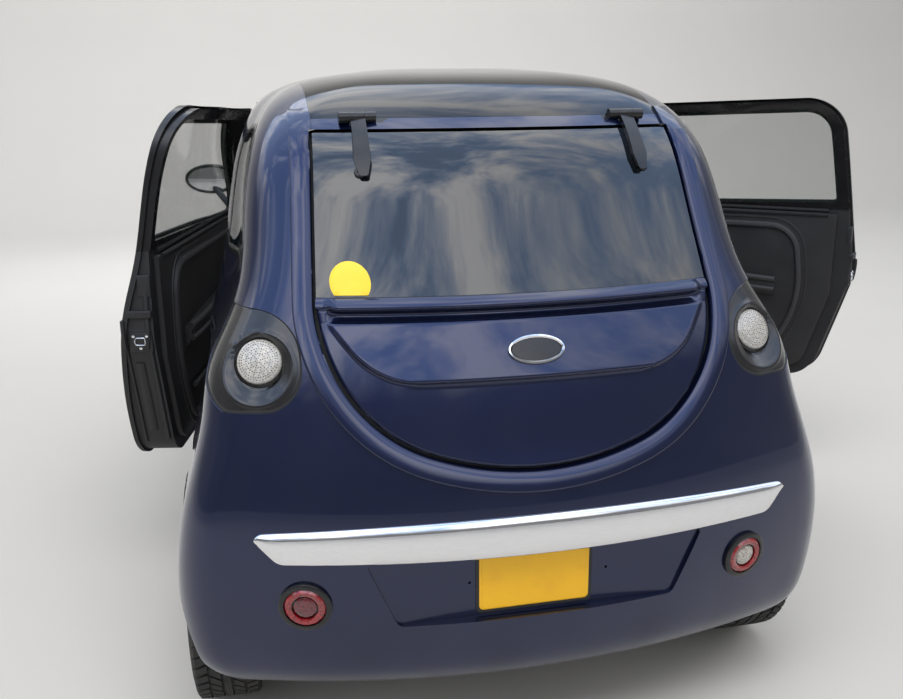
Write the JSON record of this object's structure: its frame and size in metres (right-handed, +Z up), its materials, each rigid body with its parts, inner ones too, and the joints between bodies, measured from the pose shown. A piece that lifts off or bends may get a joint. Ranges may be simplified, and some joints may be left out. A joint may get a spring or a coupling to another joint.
{
  "type": "two-seat microcar",
  "caption": "Short light car with a hollow cabin, hinged side doors, a rounded glass tailgate, a lifting bonnet and steered front wheels.",
  "frame": {"origin": "on the ground, midway along the car and on its centre plane", "axes": "+X to the car's left, +Y to the rear, +Z up; the car faces -Y"},
  "size_m": [2.5075, 3.0123, 1.4961],
  "materials": {
    "body_paint": "glossy dark blue metallic",
    "roof_black": "glossy black",
    "black_plastic": "textured black plastic",
    "trim_plastic": "grained dark plastic",
    "clear_glass": "clear, slightly green",
    "dark_glass": "dark tinted",
    "chrome": "polished",
    "tyre_rubber": "matt black rubber",
    "rim_alloy": "satin",
    "steel": "black chassis paint",
    "lamp_housing": "dark grey",
    "lamp_lens": "clear lens",
    "red_lens": "red lens",
    "seat_cloth": "dark grey woven cloth",
    "plate_yellow": "reflective yellow",
    "engine_metal": "dull"
  },
  "bodies": {
    "body": {"chrome_strip": "chrome", "cowl_panel": "black_plastic", "dashboard": "trim_plastic", "door_posts": "body_paint", "engine_block": "engine_metal", "floor_pan": "steel", "front_bumper": "body_paint", "front_grille": "black_plastic", "front_header": "body_paint", "front_round_lamps": "lamp_lens", "front_suspension": "steel", "front_wheel_housings": "black_plastic", "headlamps": "lamp_lens", "left_front_wing": "body_paint", "left_seat": "seat_cloth", "left_side_frame": "body_paint", "number_plate": "plate_yellow", "quarter_windows": "dark_glass", "rear_beam": "steel", "rear_bumper": "body_paint", "rear_header": "body_paint", "rear_lamp_lenses": "lamp_lens", "rear_lamps": "lamp_housing", "rear_wheel_housings": "black_plastic", "right_front_wing": "body_paint", "right_seat": "seat_cloth", "right_side_frame": "body_paint", "roof_panel": "roof_black", "round_rear_lamps": "red_lens", "windscreen": "clear_glass"},
    "left_hub": {"left_knuckle": "steel"},
    "right_hub": {"right_knuckle": "steel"},
    "front_left_wheel": {"front_left_tyre": "tyre_rubber", "front_left_rim": "rim_alloy"},
    "front_right_wheel": {"front_right_tyre": "tyre_rubber", "front_right_rim": "rim_alloy"},
    "rear_left_wheel": {"rear_left_tyre": "tyre_rubber", "rear_left_rim": "rim_alloy"},
    "rear_right_wheel": {"rear_right_tyre": "tyre_rubber", "rear_right_rim": "rim_alloy"},
    "steering": {"steering_wheel": "trim_plastic"},
    "left_door_body": {"left_door": "body_paint", "left_door_frame": "black_plastic", "left_door_trim": "trim_plastic", "left_door_glass": "clear_glass", "left_mirror": "black_plastic"},
    "right_door_body": {"right_door": "body_paint", "right_door_frame": "black_plastic", "right_door_trim": "trim_plastic", "right_door_glass": "clear_glass", "right_mirror": "black_plastic"},
    "tailgate": {"tailgate_panel": "body_paint", "tailgate_glass": "dark_glass", "tailgate_hinge_arms": "black_plastic"},
    "bonnet_lid": {"bonnet": "body_paint"}
  },
  "joints": [
    {"name": "left_steer", "type": "hinge", "parent": "body", "child": "left_hub", "pos_m": [0.598, -1.03, 0.2785], "axis": [0, 0, 1], "range_deg": [-30, 30]},
    {"name": "right_steer", "type": "hinge", "parent": "body", "child": "right_hub", "pos_m": [-0.598, -1.03, 0.2785], "axis": [0, 0, 1], "range_deg": [-30, 30]},
    {"name": "steering_wheel_turn", "type": "hinge", "parent": "body", "child": "steering", "pos_m": [0.285, -0.3, 0.84], "axis": [0, 0.9063, 0.4226], "range_deg": [-450, 450]},
    {"name": "front_left_spin", "type": "hinge", "parent": "left_hub", "child": "front_left_wheel", "pos_m": [0.652, -1.03, 0.2785], "axis": [1, 0, 0], "continuous": true},
    {"name": "front_right_spin", "type": "hinge", "parent": "right_hub", "child": "front_right_wheel", "pos_m": [-0.652, -1.03, 0.2785], "axis": [1, 0, 0], "continuous": true},
    {"name": "rear_left_spin", "type": "hinge", "parent": "body", "child": "rear_left_wheel", "pos_m": [0.664, 1, 0.2785], "axis": [1, 0, 0], "continuous": true},
    {"name": "rear_right_spin", "type": "hinge", "parent": "body", "child": "rear_right_wheel", "pos_m": [-0.664, 1, 0.2785], "axis": [1, 0, 0], "continuous": true},
    {"name": "left_door_hinge", "type": "hinge", "parent": "body", "child": "left_door_body", "pos_m": [0.706, -0.645, 0.6], "axis": [0, 0, -1], "range_deg": [-11, 51]},
    {"name": "right_door_hinge", "type": "hinge", "parent": "body", "child": "right_door_body", "pos_m": [-0.706, -0.645, 0.6], "axis": [0, 0, 1], "range_deg": [-47, 15]},
    {"name": "tailgate_lift", "type": "hinge", "parent": "body", "child": "tailgate", "pos_m": [0, 1.094, 1.383], "axis": [1, 0, 0], "range_deg": [0, 72]},
    {"name": "bonnet_lift", "type": "hinge", "parent": "body", "child": "bonnet_lid", "pos_m": [0, -0.975, 0.97], "axis": [-1, 0, 0], "range_deg": [0, 50]}
  ],
  "couplings": [
    {"joint": "right_steer", "follows": "left_steer", "ratio": 1},
    {"joint": "steering_wheel_turn", "follows": "left_steer", "ratio": 15}
  ]
}
